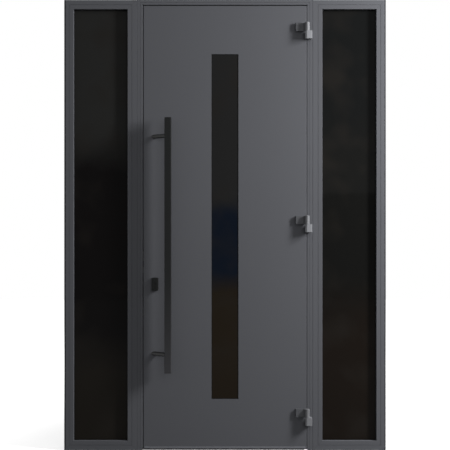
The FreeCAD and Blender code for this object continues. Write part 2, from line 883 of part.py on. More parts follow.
def add_knuckle(body, low, height):
    """The round barrel about the hinge's axis."""
    barrel = new_sketch(body, "XY", low)
    draw_circle(barrel, axis_x, axis_y, size.knuckle_diameter)
    pad(body, barrel, height)


def bore_knuckle(body, low, height):
    """The bore that the pin stands in."""
    hole = new_sketch(body, "XY", low)
    draw_circle(hole, axis_x, axis_y, size.pin_diameter + size.pin_play * 2)
    pocket(body, hole, height)


def make_hinges():
    """Three like hinges on the right jamb, the middle one midway."""
    upper = leaf_top - size.upper_hinge_drop
    lower = leaf_bottom + size.lower_hinge_rise
    make_hinge("upper", upper)
    make_hinge("middle", (upper + lower) / 2)
    make_hinge("lower", lower)


make_sidelight("left", -half_width, -door_half, "left")
make_sidelight("right", door_half, half_width, "right")
make_door_frame()
make_leaf_shell()
make_slot_glazing()
make_pull_bar()
make_lock()
make_hinges()
doc.recompute()

for item in doc.Objects:
    if "Invalid" in item.State or "Error" in item.State:
        raise RuntimeError(f"{item.Label} is {item.State}")
for item in subparts:
    if item.Shape.isNull() or not item.Shape.isValid():
        raise RuntimeError(f"{item.Label} has no valid shape")

os.makedirs("parts", exist_ok=True)
for item in subparts:
    item.Shape.exportStep(f"parts/{item.Label}.step")
volume = sum(item.Shape.Volume for item in subparts) / 1e9
print(f"{len(subparts)} sub-parts, {volume:.4f} cubic metres")
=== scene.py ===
import math
import bmesh
import bpy
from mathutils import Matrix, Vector


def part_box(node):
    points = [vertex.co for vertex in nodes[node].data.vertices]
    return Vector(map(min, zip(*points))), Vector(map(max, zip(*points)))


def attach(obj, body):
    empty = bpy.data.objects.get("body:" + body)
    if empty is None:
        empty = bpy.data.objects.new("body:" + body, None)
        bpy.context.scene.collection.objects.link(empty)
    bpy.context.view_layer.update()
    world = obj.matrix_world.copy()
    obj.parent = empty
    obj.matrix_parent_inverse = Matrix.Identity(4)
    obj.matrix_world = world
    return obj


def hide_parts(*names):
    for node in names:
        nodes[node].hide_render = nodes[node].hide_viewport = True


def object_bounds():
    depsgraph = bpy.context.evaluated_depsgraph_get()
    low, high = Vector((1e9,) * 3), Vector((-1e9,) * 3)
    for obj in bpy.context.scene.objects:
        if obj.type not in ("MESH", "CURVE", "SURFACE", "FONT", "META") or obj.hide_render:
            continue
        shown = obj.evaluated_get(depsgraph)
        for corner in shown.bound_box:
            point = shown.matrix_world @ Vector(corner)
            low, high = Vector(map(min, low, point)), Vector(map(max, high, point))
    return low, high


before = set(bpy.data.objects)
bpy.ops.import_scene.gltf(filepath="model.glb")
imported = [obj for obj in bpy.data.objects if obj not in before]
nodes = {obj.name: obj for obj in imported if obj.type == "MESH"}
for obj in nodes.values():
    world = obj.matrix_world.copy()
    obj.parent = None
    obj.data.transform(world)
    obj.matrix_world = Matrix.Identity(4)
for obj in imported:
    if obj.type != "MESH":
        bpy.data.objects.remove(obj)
cad_low, cad_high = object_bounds()
bpy.ops.object.select_all(action="DESELECT")

# Frame profiles
# Both sidelights and the door frame are extruded aluminium bars, mitred and crimped at their
# corners and then powder coated in matt anthracite. A fine texture breaks up the reflections,
# and a hairline seam shows along every mitre.


class Signal:
    """One output of a shader node. Python's operators on signals add Math nodes."""

    def __init__(self, finish, socket):
        self.finish = finish
        self.socket = socket

    def compute(self, operation, *others):
        return self.finish.add("Math", {"operation": operation}, dict(enumerate((self, *others))))

    def __add__(self, other):
        return self.compute("ADD", other)

    def __sub__(self, other):
        return self.compute("SUBTRACT", other)

    def __rsub__(self, other):
        return self * -1 + other

    def __mul__(self, other):
        return self.compute("MULTIPLY", other)

    def __truediv__(self, other):
        return self.compute("DIVIDE", other)

    def __abs__(self):
        return self.compute("ABSOLUTE")

    __radd__ = __add__
    __rmul__ = __mul__

    def least(self, other):
        return self.compute("MINIMUM", other)

    def most(self, other):
        return self.compute("MAXIMUM", other)

    def ramp(self, low, high):
        """0 below low and 1 above high, with a straight slope between."""
        return self.finish.add("MapRange", {"clamp": True}, {0: self, 1: low, 2: high})

    def spread(self, low, high):
        """Stretches a signal that runs from 0 to 1, so that it runs from low to high."""
        return self * (high - low) + low


class Finish:
    """The nodes of one material, or of the world, and the one method that adds them."""

    def __init__(self, owner):
        owner.use_nodes = True
        self.owner = owner
        self.tree = owner.node_tree
        self.shader = self.tree.nodes.get("Principled BSDF")

    def add(self, kind, settings, inputs, output=0):
        """Adds a node, first with its settings and then with its sockets' values or links."""
        node = self.tree.nodes.new(f"ShaderNode{kind}")
        for name, value in settings.items():
            setattr(node, name, value)
        for socket, value in inputs.items():
            self.feed(node.inputs[socket], value)
        return Signal(self, node.outputs[output])

    def feed(self, socket, value):
        if isinstance(value, Signal):
            self.tree.links.new(value.socket, socket)
        else:
            socket.default_value = value

    def surface(self, **values):
        """Feeds the shader's own sockets, named with _ for each space."""
        for name, value in values.items():
            self.feed(self.shader.inputs[name.replace("_", " ")], value)

    def place(self):
        """The point on the object, in metres."""
        return self.add("TexCoord", {}, {}, "Object")

    def axis(self, name):
        """One coordinate of the point on the object."""
        return self.add("SeparateXYZ", {}, {0: self.place()}, name)

    def noise(self, scale, detail=2.0, roughness=0.5):
        inputs = {"Vector": self.place(), "Scale": scale, "Detail": detail, "Roughness": roughness}
        return self.add("TexNoise", {}, inputs)

    def blend(self, share, first, second):
        """The first colour where share is 0 and the second where it is 1."""
        return self.add("Mix", {"data_type": "RGBA"}, {0: share, 6: first, 7: second}, 2)

    def bump(self, height, strength, distance):
        inputs = {"Height": height, "Strength": strength, "Distance": distance}
        return self.add("Bump", {}, inputs)

    def cover(self, *names):
        """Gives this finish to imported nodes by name."""
        for name in names:
            nodes[name].data.materials.clear()
            nodes[name].data.materials.append(self.owner)


def colour(red, green, blue):
    """A colour as a display shows it, from 0 to 255, made linear."""
    parts = [part / 255 for part in (red, green, blue)]
    linear = [part / 12.92 if part <= 0.04045 else ((part + 0.055) / 1.055) ** 2.4 for part in parts]
    return (*linear, 1.0)


def shaded(tint, share):
    """A tint made darker, or lighter with a share above 1."""
    return (*(part * share for part in tint[:3]), 1.0)


def new_finish(name):
    return Finish(bpy.data.materials.new(name))


ANTHRACITE = colour(84, 85, 89)
# painted shade: a darker tone for the set-back side flanges, which lie in the face's shadow
PAINTED_FLANGE_SHADE = colour(50, 50, 53)
SEAM_SHADE = colour(24, 24, 26)


def powder_coat(name, tint, seam=None, painted_shade_mask=None):
    """Matt powder coat: a fine even texture, with the tone drifting slightly over a metre."""
    coat = new_finish(name)
    drift = coat.noise(scale=1.6, detail=3.0)
    tone = coat.blend(drift, shaded(tint, 0.95), shaded(tint, 1.05))
    grain = coat.noise(scale=900.0, detail=4.0, roughness=0.6)
    # painted shade on the part that the mask picks
    if painted_shade_mask:
        tone = coat.blend(painted_shade_mask(coat), tone, PAINTED_FLANGE_SHADE)
    if seam:
        line = seam(coat)
        tone = coat.blend(line * 0.6, tone, SEAM_SHADE)
        grain = grain - line * 4.0
    coat.surface(
        Base_Color=tone,
        Roughness=coat.noise(scale=60.0, detail=3.0).spread(0.46, 0.58),
        Specular_IOR_Level=0.05,
        Normal=coat.bump(grain, strength=0.22, distance=0.00012),
    )
    return coat


frame_half = (cad_high.x - cad_low.x) / 2
frame_top = cad_high.z
door_frame_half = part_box("door_head")[1].x
MITRE_SEAM = 0.00022


def mitre_seam(coat, outer, inner, low, reach):
    """1 along the diagonals at the corners of a frame from inner to outer, 0 elsewhere."""
    across = abs(coat.axis("X"))
    up = coat.axis("Z")
    from_side = (across - inner).least(outer - across)
    from_end = (up - low).least(frame_top - up)
    off = abs(from_side - from_end)
    near = 1 - from_side.most(from_end).ramp(reach, reach + MITRE_SEAM)
    return (1 - off.ramp(MITRE_SEAM, MITRE_SEAM * 2)) * near


def width_of(node):
    low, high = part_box(node)
    return high.x - low.x


def sidelight_seam(coat):
    return mitre_seam(coat, frame_half, door_frame_half, 0.0, width_of("left_inner_stile"))


FAR_OFF = -1.0


def door_frame_seam(coat):
    # only its two top corners are mitred, so the inner side and the lower end are put far off
    return mitre_seam(coat, door_frame_half, FAR_OFF, FAR_OFF, width_of("lock_jamb"))


FLANGE_WIDTH = 0.0075
FLANGE_FRONT = -0.032


def flange_painted_shade(coat):
    """1 on the set-back flanges at the set's sides, where shade is painted into the coat, and 0 elsewhere.
    """
    flange_edge = frame_half - FLANGE_WIDTH
    outside = abs(coat.axis("X")).ramp(flange_edge + 0.0001, flange_edge + 0.0003)
    behind = coat.axis("Y").ramp(FLANGE_FRONT + 0.0002, FLANGE_FRONT + 0.0006)
    return outside * (1 - behind)


sidelight_coat = powder_coat("sidelight_powder_coat", ANTHRACITE, sidelight_seam, flange_painted_shade)
door_frame_coat = powder_coat("door_frame_powder_coat", ANTHRACITE, door_frame_seam)
for side in ("left", "right"):
    for member in ("outer_stile", "inner_stile", "head_rail", "sill_rail", "bead_frame"):
        sidelight_coat.cover(f"{side}_{member}")
door_frame_coat.cover("lock_jamb", "door_head", "hinge_jamb")

# Sidelight glazing
# Each light is a sealed unit of two dark tinted panes on a black warm-edge spacer, held between
# rubber gaskets. The glass is nearly black from outside; light from round it, reflected and seen
# through, is painted into its colour as tones that change with height.


def tinted_glass(name, bottom, middle, top, breaks):
    """Dark glass, with painted reflection in three tones that run into each other between each pair of
    heights.
    """
    glass = new_finish(name)
    up = glass.axis("Z") + glass.noise(scale=2.5, detail=4.0, roughness=0.6).spread(-0.15, 0.15)
    low_break, high_break = breaks
    # painted reflection of the surroundings, set by height over the glass's dark tint
    painted_reflection = glass.blend(up.ramp(*low_break), colour(*bottom), colour(*middle))
    painted_reflection = glass.blend(up.ramp(*high_break), painted_reflection, colour(*top))
    cloud = glass.noise(scale=5.0).ramp(0.5, 0.72)
    painted_reflection = glass.blend(cloud * 0.5, painted_reflection, colour(32, 29, 26))
    glass.surface(
        Base_Color=painted_reflection,
        Roughness=glass.noise(scale=7.0, detail=4.0).spread(0.02, 0.07),
        Specular_IOR_Level=0.03,
    )
    return glass


def black_rubber(name):
    rubber = new_finish(name)
    skin = rubber.noise(scale=700.0, detail=3.0)
    rubber.surface(
        Base_Color=rubber.blend(rubber.noise(scale=40.0), colour(9, 9, 9), colour(17, 17, 17)),
        Roughness=rubber.noise(scale=90.0).spread(0.6, 0.8),
        Specular_IOR_Level=0.04,
        Normal=rubber.bump(skin, strength=0.3, distance=0.0002),
    )
    return rubber


HOLE_PITCH = 0.004


def warm_edge_spacer():
    """A black spacer bar, pricked with a row of holes that dry the air in the unit. Each hole is a bump
    dent, with the shade inside it painted dark.
    """
    bar = new_finish("warm_edge_spacer")
    along = (bar.axis("Z") + bar.axis("X")) / HOLE_PITCH
    from_hole = abs(along - along.compute("ROUND"))
    # the hole's dent, and its painted shade
    hole_and_shade = 1 - from_hole.ramp(0.12, 0.2)
    bar.surface(
        Base_Color=bar.blend(hole_and_shade, colour(26, 26, 27), colour(6, 6, 6)),
        Roughness=bar.noise(scale=300.0).spread(0.4, 0.55),
        Specular_IOR_Level=0.15,
        Normal=bar.bump(hole_and_shade * -1, strength=0.5, distance=0.0004),
    )
    return bar


# these tones are painted reflection of the surroundings, not the glass's own colour
left_glass = tinted_glass("left_tinted_glass", bottom=(27, 24, 20), middle=(13, 11, 11),
                          top=(36, 36, 35), breaks=((0.35, 0.55), (1.3, 1.5)))
right_glass = tinted_glass("right_tinted_glass", bottom=(23, 18, 14), middle=(17, 17, 16),
                           top=(14, 15, 15), breaks=((0.5, 0.8), (1.35, 1.6)))
left_glass.cover("left_glass_panes")
right_glass.cover("right_glass_panes")
gasket_rubber = black_rubber("gasket_rubber")
spacer_bar = warm_edge_spacer()
for side in ("left", "right"):
    spacer_bar.cover(f"{side}_glass_spacer")
    gasket_rubber.cover(f"{side}_glazing_gasket")

# Fixing caps
# The door frame is screwed to the wall through its rebates. Each screw is hidden under a round
# plastic cap, pressed in so that only its shallow domed head shows when the leaf is open.


def select_where(piece, kind, wanted):
    """Selects, in edit mode, the faces or edges that wanted picks, and nothing else."""
    bpy.ops.mesh.select_mode(type=kind)
    bpy.ops.mesh.select_all(action="DESELECT")
    mesh = bmesh.from_edit_mesh(piece.data)
    items = mesh.faces if kind == "FACE" else mesh.edges
    for item in items:
        item.select_set(bool(wanted(item)))
    bmesh.update_edit_mesh(piece.data)


def select_top(piece):
    select_where(piece, "FACE", lambda face: face.normal.z > 0.9)


def begin(name):
    """Names the primitive just added and opens it for shaping."""
    piece = bpy.context.active_object
    piece.name = name
    piece.data.name = name
    bpy.ops.object.mode_set(mode="EDIT")
    return piece


def draw_up(piece, *steps):
    """Draws the top face in and up, by each step's inset and rise, to a shallow dome."""
    select_top(piece)
    for inset, rise in steps:
        bpy.ops.mesh.inset(thickness=inset)
        bpy.ops.transform.translate(value=(0, 0, rise))


SMOOTH_BELOW = math.radians(35)


def close(piece):
    """Ends the shaping, puts the piece's place in its mesh and smooths its round faces."""
    bpy.ops.object.mode_set(mode="OBJECT")
    bpy.ops.object.transform_apply(location=True, rotation=True, scale=True)
    bpy.ops.object.shade_smooth_by_angle(angle=SMOOTH_BELOW)
    bpy.ops.object.select_all(action="DESELECT")
    return piece


def set_out(master, name, places, turn=(0, 0, 0)):
    """Copies a small part to each place, turned, and joins the copies into one piece."""
    copies = []
    for place in places:
        bpy.ops.object.select_all(action="DESELECT")
        master.select_set(True)
        bpy.context.view_layer.objects.active = master
        bpy.ops.object.duplicate(linked=False)
        copy = bpy.context.active_object
        copy.location = place
        copy.rotation_euler = turn
        bpy.ops.object.transform_apply(location=True, rotation=True, scale=True)
        copies.append(copy)
    for copy in copies:
        copy.select_set(True)
    bpy.context.view_layer.objects.active = copies[0]
    if len(copies) > 1:
        bpy.ops.object.join()
    copies[0].name = name
    copies[0].data.name = name
    bpy.ops.object.select_all(action="DESELECT")
    return copies[0]


def hang(piece, body, finish):
    """Gives a piece its finish and slot, and lets it ride on a body."""
    piece.data.materials.clear()
    piece.data.materials.append(finish.owner)
    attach(piece, body)


CAP_RADIUS = 0.007
CAP_HEIGHT = 0.0011
CAP_RIM = (0.0012, 0.0004)
CAP_CROWN = (0.003, 0.0002)
bpy.ops.mesh.primitive_cylinder_add(vertices=32, radius=CAP_RADIUS, depth=CAP_HEIGHT,
                                    location=(0, 0, CAP_HEIGHT / 2))
cap = begin("fixing_cap")
draw_up(cap, CAP_RIM, CAP_CROWN)
close(cap)

# turns that make the top of a small part face to the left or to the right
FACE_LEFT = (0, math.radians(-90), 0)
FACE_RIGHT = (0, math.radians(90), 0)
LOWEST_CAP = 0.18
CAP_SPACING = 0.435
CAP_COUNT = 5
CAP_DEPTH = 0.008
jamb_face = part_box("threshold")[1].x
cap_heights = [LOWEST_CAP + step * CAP_SPACING for step in range(CAP_COUNT)]
cap_plastic = black_rubber("cap_plastic")
for jamb, face, turn in (("lock_jamb", -jamb_face, FACE_RIGHT), ("hinge_jamb", jamb_face, FACE_LEFT)):
    places = [(face, CAP_DEPTH, height) for height in cap_heights]
    hang(set_out(cap, f"{jamb}_fixing_caps", places, turn), "frame", cap_plastic)
bpy.data.objects.remove(cap)

# Threshold
# A bare extruded aluminium sill that the leaf passes over, screwed down along its middle. Its
# tread has fine ribs along its length, and the metal is dull and pale with faint drawing lines.


def streaks(finish, fineness, detail):
    """Noise drawn out into lines, with its own fineness along each axis."""
    stretched = finish.add("Mapping", {}, {"Vector": finish.place(), "Scale": fineness})
    return finish.add("TexNoise", {}, {"Vector": stretched, "Scale": 1.0, "Detail": detail})


RIB_PITCH = 0.0045


def ribbed_sill():
    sill = new_finish("bare_sill_aluminium")
    ribs = (sill.axis("Y") * (2 * math.pi / RIB_PITCH)).compute("SINE")
    lines = streaks(sill, (3.0, 900.0, 900.0), detail=3.0)
    sill.surface(
        Base_Color=sill.blend(lines, colour(228, 228, 230), colour(240, 240, 241)),
        Metallic=0.1,
        Roughness=lines.spread(0.38, 0.58),
        Normal=sill.bump(ribs + lines * 0.3, strength=0.5, distance=0.0004),
    )
    return sill


ribbed_sill().cover("threshold")


def brushed_steel(name, tint, roughness):
    """Stainless steel, with fine scratches of the brushing along Z."""
    metal = new_finish(name)
    lines = streaks(metal, (1600.0, 1600.0, 30.0), detail=2.0)
    metal.surface(
        Base_Color=metal.blend(lines, shaded(tint, 0.82), tint),
        Metallic=1.0,
        Roughness=lines.spread(roughness, roughness + 0.14),
        Normal=metal.bump(lines, strength=0.12, distance=0.0001),
    )
    return metal


def cut_out(piece, cutter):
    """Takes the cutter's space out of the piece and removes the cutter."""
    change = piece.modifiers.new("cut", "BOOLEAN")
    change.object = cutter
    change.solver = "EXACT"
    bpy.context.view_layer.objects.active = piece
    bpy.ops.object.modifier_apply(modifier=change.name)
    bpy.data.objects.remove(cutter)


SCREW_HEAD = 0.0012
SOCKET_DEPTH = 0.0016
SOCKET_MIDDLE = 0.0009


def countersunk_screw(name, radius, socket_radius):
    """A flush screw head facing +Z, with its rim eased and a hexagon socket in its middle."""
    bpy.ops.mesh.primitive_cylinder_add(vertices=32, radius=radius, depth=SCREW_HEAD)
    screw = begin(name)
    draw_up(screw, (radius * 0.12, 0.0002))
    close(screw)
    bpy.ops.mesh.primitive_cylinder_add(vertices=6, radius=socket_radius, depth=SOCKET_DEPTH,
                                        location=(0, 0, SOCKET_MIDDLE))
    cut_out(screw, bpy.context.active_object)
    return screw


steel = brushed_steel("brushed_stainless_steel", colour(178, 178, 180), roughness=0.3)
wide_screw = countersunk_screw("wide_screw", radius=0.0045, socket_radius=0.0019)
TREAD_HEIGHT = 0.005
SILL_SCREW_LINE = -0.004
SILL_SCREW_SHARES = (0.06, 0.28, 0.5, 0.72, 0.94)
sill_low, sill_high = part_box("threshold")
sill_places = [(sill_low.x + (sill_high.x - sill_low.x) * share, SILL_SCREW_LINE, TREAD_HEIGHT)
               for share in SILL_SCREW_SHARES]
sill_screws = set_out(wide_screw, "threshold_screws", sill_places)
hang(sill_screws, "frame", steel)

# Stop seal
# A hollow rubber seal runs round the stop of the frame, and the closed leaf presses against it.
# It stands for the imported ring, with its outer face rounded as the real bulb is.
FACE_OUT = (math.radians(90), 0, 0)
SEAL_WIDTH = 0.006
BULB_ROUNDING = SEAL_WIDTH * 0.42
seal_low, seal_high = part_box("stop_seal")
seal_middle = (seal_low + seal_high) / 2
seal_depth = seal_high.y - seal_low.y


def raise_selected(step):
    bpy.ops.mesh.extrude_region_move(TRANSFORM_OT_translate={"value": step})


def on_front_rim(edge):
    """True for the outer and the inner edges of the ring's front."""
    walls = [face for face in edge.link_faces if abs(face.normal.y) < 0.5]
    return len(walls) == 1 and all(vertex.co.y < -seal_depth / 2 for vertex in edge.verts)


bpy.ops.mesh.primitive_plane_add(size=1.0, location=(seal_middle.x, seal_high.y, seal_middle.z),
                                 rotation=FACE_OUT)
bpy.context.active_object.scale = (seal_high.x - seal_low.x, seal_high.z - seal_low.z, 1)
bpy.ops.object.transform_apply(location=False, rotation=True, scale=True)
seal = begin("stop_bulb_seal")
bpy.ops.mesh.inset(thickness=SEAL_WIDTH)
bpy.ops.mesh.delete(type="FACE")
bpy.ops.mesh.select_all(action="SELECT")
raise_selected((0, -seal_depth, 0))
select_where(seal, "EDGE", on_front_rim)
bpy.ops.mesh.bevel(offset=BULB_ROUNDING, segments=4, affect="EDGES")
bpy.ops.mesh.select_all(action="SELECT")
bpy.ops.mesh.normals_make_consistent(inside=False)
close(seal)
hang(seal, "frame", gasket_rubber)
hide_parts("stop_seal")

# Gap strips
# Flexible strips in the frame's colour narrow the gap round the leaf from outside. Each is pressed
# into a jamb, the head or the leaf's edge, a little below the face, and thins towards its free edge.
STRIP_SETBACK = 0.0008
STRIP_DEPTH = 0.003
STRIP_ROUNDING = 0.0002
LIP_THINNING = 0.4
SHORTEST_STRIP = 0.5
leaf_low, leaf_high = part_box("outer_skin")
strip_front = leaf_low.y + STRIP_SETBACK
gap = jamb_face - leaf_high.x


def block(name, size, place=(0, 0, 0)):
    """A block of that size at a place, opened for shaping."""
    bpy.ops.mesh.primitive_cube_add(size=1.0, location=place)
    bpy.context.active_object.scale = size
    bpy.ops.object.transform_apply(location=False, rotation=False, scale=True)
    return begin(name)


def gap_strip(name, low, high, lip):
    """A strip that fills the upright rectangle from low to high, with a lip towards the gap."""
    across, up = high[0] - low[0], high[1] - low[1]
    middle = (low[0] + across / 2, strip_front + STRIP_DEPTH / 2, low[1] + up / 2)
    strip = block(name, (across, STRIP_DEPTH, up), middle)
    towards = Vector((lip[0], 0, lip[1])).normalized()
    select_where(strip, "FACE", lambda face: face.normal.dot(towards) > 0.9)
    raise_selected((lip[0], 0, lip[1]))
    bpy.ops.transform.resize(value=(1, LIP_THINNING, 1), center_override=(0, strip_front, 0))
    select_where(strip, "EDGE", lambda edge: edge.calc_length() > SHORTEST_STRIP)
    bpy.ops.mesh.bevel(offset=STRIP_ROUNDING, segments=2, affect="EDGES")
    return close(strip)


# how far each strip and its lip stand out is given as a share of the gap
hinge_strip = gap_strip("hinge_side_gap_strip", (jamb_face - gap * 0.5, leaf_low.z),
                        (jamb_face, leaf_high.z), lip=(-gap * 0.32, 0))
lock_strip = gap_strip("lock_side_gap_strip", (-jamb_face, leaf_low.z),
                       (-jamb_face + gap * 0.12, leaf_high.z), lip=(gap * 0.1, 0))
side_lip = gap_strip("leaf_side_lip", (leaf_low.x - gap * 0.16, leaf_low.z),
                     (leaf_low.x, leaf_high.z), lip=(-gap * 0.14, 0))
head_strip = gap_strip("head_gap_strip", (leaf_low.x, leaf_high.z + gap * 0.85),
                       (leaf_high.x, leaf_high.z + gap), lip=(0, -gap * 0.1))
strip_coat = powder_coat("gap_strip_anthracite", ANTHRACITE)
for strip in (hinge_strip, lock_strip, head_strip):
    hang(strip, "frame", strip_coat)
hang(side_lip, "leaf", strip_coat)

# Strike plate
# A stainless strip let into the lock jamb, held by two screws. Behind it are the pockets that
# take the latch and the bolt, each lined with a dark plastic cup.
HEAD_SINK = 0.0005
SCREW_INSET = 0.012
steel.cover("strike_plate")
strike_low, strike_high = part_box("strike_plate")
strike_middle = (strike_low + strike_high) / 2
strike_places = [(strike_high.x - HEAD_SINK, strike_middle.y, height)
                 for height in (strike_low.z + SCREW_INSET, strike_high.z - SCREW_INSET)]
strike_screws = set_out(wide_screw, "strike_plate_screws", strike_places, FACE_RIGHT)
hang(strike_screws, "frame", steel)

CUP_WIDTH = 0.014
CUP_THICKNESS = 0.0008
CUP_CORNER = 0.002
CUP_RIM = 0.0009
CUP_HOLLOW = 0.0003
CUP_LIFT = 0.0001


def step_top(piece, *steps):
    """Insets the top face and extrudes what is left inside, once for each inset and rise."""
    select_top(piece)
    for inset, rise in steps:
        bpy.ops.mesh.inset(thickness=inset)
        raise_selected((0, 0, rise))


def pocket_cup(name, length):
    """A shallow dark cup facing +Z, with a rim that laps the plate round it."""
    cup = block(name, (length, CUP_WIDTH, CUP_THICKNESS))
    select_where(cup, "EDGE", lambda edge: abs(edge.verts[0].co.z - edge.verts[1].co.z) > CUP_THICKNESS / 2)
    bpy.ops.mesh.bevel(offset=CUP_CORNER, segments=4, affect="EDGES")
    step_top(cup, (CUP_RIM, -CUP_HOLLOW))
    return close(cup)


# the latch is level with the lever, and the bolt lies between it and the key cylinder
LEVER_RADIUS = 0.0095
LEVER_RISE = 0.092
BOLT_RISE = 0.03
latch_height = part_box("inner_lever")[0].z + LEVER_RADIUS
bolt_height = latch_height - LEVER_RISE + BOLT_RISE
for name, length, height in (("latch_pocket", 0.03, latch_height), ("bolt_pocket", 0.042, bolt_height)):
    cup = pocket_cup(f"{name}_cup", length)
    place = (strike_high.x + CUP_LIFT, strike_middle.y, height)
    hang(set_out(cup, name, [place], FACE_RIGHT), "frame", cap_plastic)
    bpy.data.objects.remove(cup)

# Leaf
# Two flat aluminium sheets bonded to a frame of profiles, powder coated with the frame. The
# drip bar under the outer sheet has the same coat.
leaf_coat = powder_coat("leaf_powder_coat", ANTHRACITE)
leaf_coat.cover("outer_skin", "inner_skin", "lock_stile", "hinge_stile", "leaf_top_rail",
                "leaf_bottom_rail", "drip_bar")

# Slot glazing
# A narrow pane is let into each face of the leaf, flush within a black rubber-edged lining that
# runs through the leaf's thickness.
# these tones are painted reflection of the surroundings, not the glass's own colour
slot_glass = tinted_glass("slot_tinted_glass", bottom=(30, 24, 16), middle=(10, 17, 28),
                          top=(30, 30, 30), breaks=((0.74, 0.84), (1.08, 1.18)))
slot_glass.cover("slot_panes")
gasket_rubber.cover("slot_lining")

# Pull bar
# A square tube on two slanted round standoffs, in satin black. Plastic caps close the tube's
# ends, and a grub screw under each standoff holds the bar.
FLOOR_REFLECTION_REACH = 0.62


def satin_black(name, sheen, ends=None, lift=0):
    """Satin black coat. With ends, the heights of two fine seams, it gets lighter low down, where a
    reflection of the floor is painted in.
    """
    coat = new_finish(name)
    grain = coat.noise(scale=1100.0, detail=3.0)
    dark = colour(26 + lift, 27 + lift, 27 + lift)
    light = colour(32 + lift, 33 + lift, 33 + lift)
    shade = coat.blend(coat.noise(scale=6.0, detail=3.0), dark, light)
    if ends:
        lower, upper = ends
        up = coat.axis("Z")
        # painted reflection of the pale floor, lighter towards the bar's lower end
        painted_floor_reflection = 1 - up.ramp(lower, lower + FLOOR_REFLECTION_REACH)
        shade = coat.blend(painted_floor_reflection * painted_floor_reflection, shade, colour(56, 56, 58))
        seam = 1 - abs(up - lower).least(abs(up - upper)).ramp(0.0002, 0.0004)
        shade = coat.blend(seam, shade, colour(8, 8, 8))
        grain = grain - seam * 3.0
    coat.surface(
        Base_Color=shade,
        Roughness=coat.noise(scale=80.0, detail=3.0).spread(0.34, 0.44),
        Specular_IOR_Level=sheen,
        Normal=coat.bump(grain, strength=0.15, distance=0.0001),
    )
    return coat


END_CAP = 0.004
bar_low, bar_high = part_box("pull_bar")
bar_ends = (bar_low.z + END_CAP, bar_high.z - END_CAP)
satin_black("bar_satin_black", sheen=0.06, ends=bar_ends).cover("pull_bar")
handle_coat = satin_black("handle_satin_black", sheen=0.06, lift=6)
handle_coat.cover("outer_escutcheon", "lock_cylinder")
satin_black("standoff_polished_black", sheen=0.34).cover("upper_standoff", "lower_standoff")

FACE_DOWN = (math.radians(180), 0, 0)
GRUB_SINK = 0.0001
grub_screw = countersunk_screw("grub_screw", radius=0.0026, socket_radius=0.0014)
for level in ("upper", "lower"):
    low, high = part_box(f"{level}_standoff")
    middle = (low + high) / 2
    under = set_out(grub_screw, f"{level}_standoff_grub_screw",
                    [(middle.x, middle.y, low.z + GRUB_SINK)], FACE_DOWN)
    hang(under, "leaf", handle_coat)

# Lock
# Outside, a black escutcheon guards the cylinder. Inside, a lever turns in a long stainless
# plate. The case between them is in the leaf, and its steel face shows on the leaf's edge.
FACE_IN = (math.radians(-90), 0, 0)
CYLINDER_RADIUS = 0.0085
RING_RADIUS = 0.0068
RING_THICKNESS = 0.00045
RING_FLATTENING = 0.7
steel.cover("lever_plate", "inner_lever", "lock_faceplate")
cylinder_low, cylinder_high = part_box("lock_cylinder")
cylinder_x = (cylinder_low.x + cylinder_high.x) / 2
cylinder_z = cylinder_high.z - CYLINDER_RADIUS
bpy.ops.mesh.primitive_torus_add(major_radius=RING_RADIUS, minor_radius=RING_THICKNESS,
                                 major_segments=48, minor_segments=10)
ring = begin("plug_ring")
bpy.ops.transform.resize(value=(1, 1, RING_FLATTENING))
close(ring)
for end, end_y, turn in (("outer", cylinder_low.y, FACE_OUT), ("inner", cylinder_high.y, FACE_IN)):
    end_ring = set_out(ring, f"{end}_cylinder_ring", [(cylinder_x, end_y, cylinder_z)], turn)
    hang(end_ring, "leaf", handle_coat)
bpy.data.objects.remove(ring)

PLATE_SCREW_INSET = 0.014
plate_low, plate_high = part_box("lever_plate")
plate_places = [(cylinder_x, plate_high.y - HEAD_SINK, height)
                for height in (plate_low.z + PLATE_SCREW_INSET, plate_high.z - PLATE_SCREW_INSET)]
plate_screws = set_out(wide_screw, "lever_plate_screws", plate_places, FACE_IN)
hang(plate_screws, "leaf", steel)

COLLAR_RADIUS = 0.0125
COLLAR_HEIGHT = 0.004
COLLAR_LIP = (0.001, 0.0008)
COLLAR_GROOVE = (0.0012, -0.0006)
bpy.ops.mesh.primitive_cylinder_add(vertices=48, radius=COLLAR_RADIUS, depth=COLLAR_HEIGHT,
                                    location=(0, 0, COLLAR_HEIGHT / 2))
collar = begin("lever_collar")
step_top(collar, COLLAR_LIP, COLLAR_GROOVE)
close(collar)
lever_collar = set_out(collar, "inner_lever_collar", [(cylinder_x, plate_high.y, latch_height)], FACE_IN)
hang(lever_collar, "leaf", steel)
bpy.data.objects.remove(collar)

face_low, face_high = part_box("lock_faceplate")
face_middle = (face_low + face_high) / 2
face_places = [(face_low.x + HEAD_SINK, face_middle.y, height)
               for height in (face_low.z + SCREW_INSET, face_high.z - SCREW_INSET)]
face_screws = set_out(wide_screw, "lock_faceplate_screws", face_places, FACE_LEFT)
hang(face_screws, "leaf", steel)

BOLT_WIDTH = 0.012
BOLT_THICKNESS = 0.002
BOLT_END_STEP = (0.0006, 0.0006)
LATCH_SLOPE = 0.0005


def bolt_end(name, length, sloped):
    """The end of a bolt drawn back into its case, facing +Z, its rim eased."""
    bolt = block(name, (length, BOLT_WIDTH, BOLT_THICKNESS))
    step_top(bolt, BOLT_END_STEP)
    if sloped:
        select_where(bolt, "EDGE", lambda edge: all(vertex.co.z > BOLT_THICKNESS / 2 and vertex.co.y > 0
                                                    for vertex in edge.verts))
        bpy.ops.transform.translate(value=(0, 0, -LATCH_SLOPE))
    return close(bolt)


